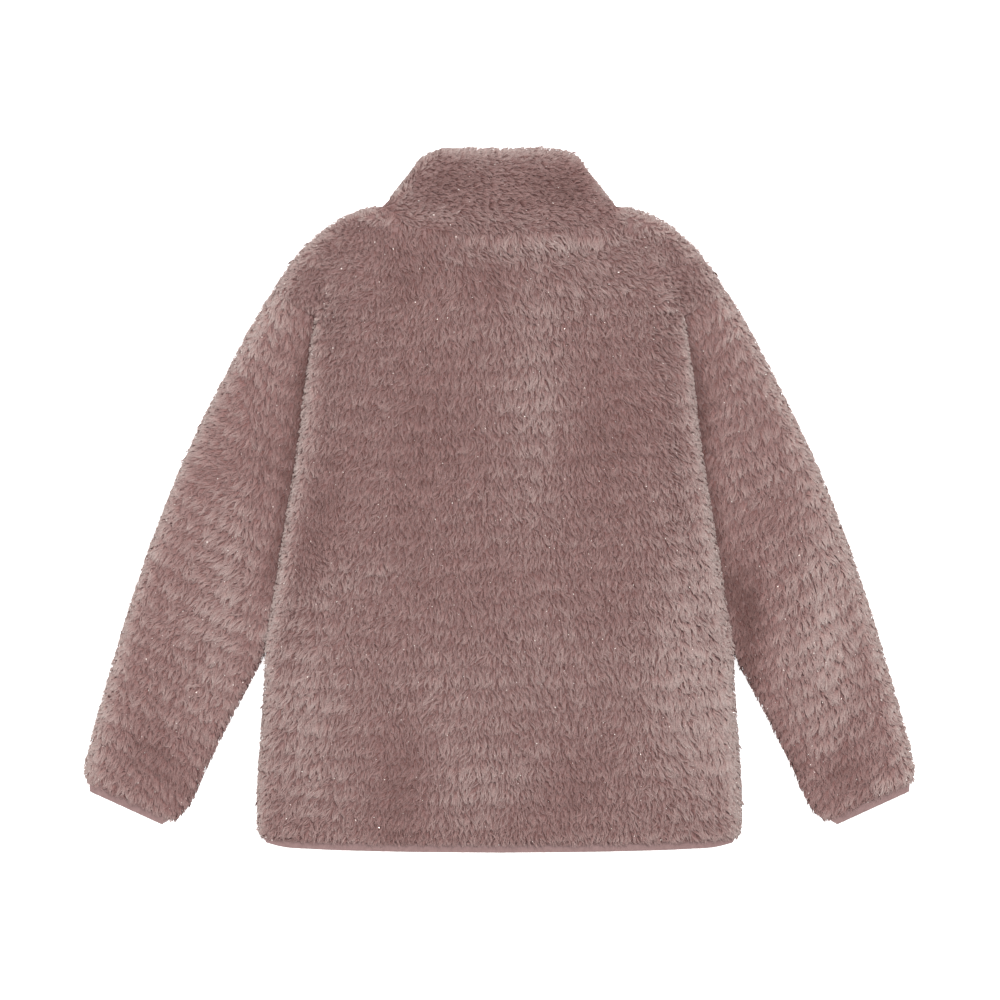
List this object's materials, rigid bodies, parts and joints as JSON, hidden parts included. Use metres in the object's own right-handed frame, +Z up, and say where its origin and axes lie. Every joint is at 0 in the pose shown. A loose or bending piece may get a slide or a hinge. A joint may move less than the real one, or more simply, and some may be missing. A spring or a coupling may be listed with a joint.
{
  "type": "pile-fleece jacket",
  "caption": "Child's pile-fleece jacket with a stand collar, drop shoulders, bound hem and cuffs and a front zip, laid flat on its front.",
  "frame": {"origin": "middle of the jacket's box, on the surface that it lies on", "axes": "+X to the right as the back is seen from above, +Y towards the collar, +Z up from the surface; the jacket lies on its front with the back uppermost"},
  "size_m": [0.706, 0.599, 0.0271],
  "materials": {
    "pile_fleece": "dusty rose pile fleece with sparse glinting fibres",
    "stretch_binding": "smooth fine-ribbed stretch knit, a little pinker than the pile",
    "zip_tape": "flat woven tape",
    "zip_teeth": "satin moulded teeth",
    "zip_metal": "satin rose lacquer"
  },
  "bodies": {
    "root": {"back": "pile_fleece", "front_left": "pile_fleece", "front_right": "pile_fleece", "sleeve_left": "pile_fleece", "sleeve_right": "pile_fleece", "collar": "pile_fleece", "hem_binding": "stretch_binding", "cuff_binding_left": "stretch_binding", "cuff_binding_right": "stretch_binding", "zip_tape_left": "zip_tape", "zip_tape_right": "zip_tape", "zip_chain": "zip_teeth", "zip_box": "zip_teeth", "zip_slider": "zip_metal"},
    "zip_pull": {"zip_pull": "zip_metal"}
  },
  "joints": [
    {"name": "pull_swing", "type": "hinge", "parent": "root", "child": "zip_pull", "pos_m": [0, 0.2893, 0.00435], "axis": [1, 0, 0], "range_deg": [0, 165]}
  ]
}
